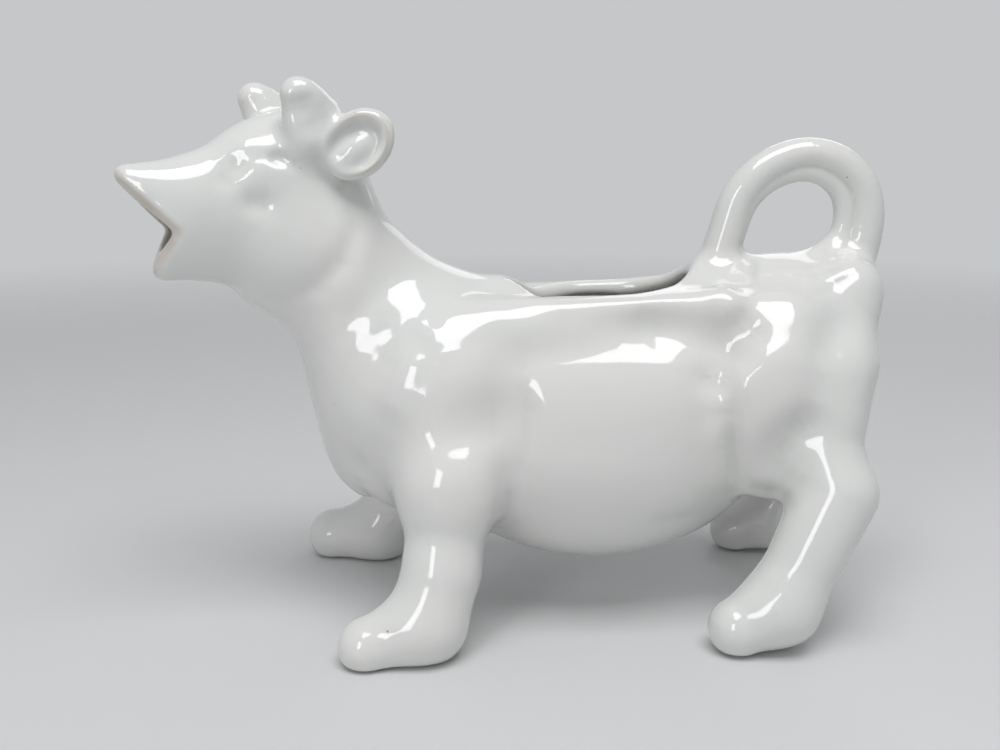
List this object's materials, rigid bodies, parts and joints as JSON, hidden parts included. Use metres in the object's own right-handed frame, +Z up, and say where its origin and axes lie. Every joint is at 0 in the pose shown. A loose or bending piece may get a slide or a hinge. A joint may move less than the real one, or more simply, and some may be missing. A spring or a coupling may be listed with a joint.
{
  "type": "cow creamer",
  "caption": "Cow-shaped porcelain creamer, filled through an open back, poured from its open mouth and held by a curled tail that makes a finger loop.",
  "frame": {"origin": "centre of the bounding box in X and Y, on the surface that the hooves stand on", "axes": "+Z up, the cow faces -X with its tail at +X, and its left side is at -Y"},
  "size_m": [0.1655, 0.075, 0.1161],
  "materials": {
    "glaze": "gloss white glaze"
  },
  "bodies": {
    "root": {"body_shell": "glaze", "front_leg_left": "glaze", "front_leg_right": "glaze", "hind_leg_left": "glaze", "hind_leg_right": "glaze", "horn_left": "glaze", "horn_right": "glaze", "ear_left": "glaze", "ear_right": "glaze", "tail_handle": "glaze"}
  },
  "joints": []
}
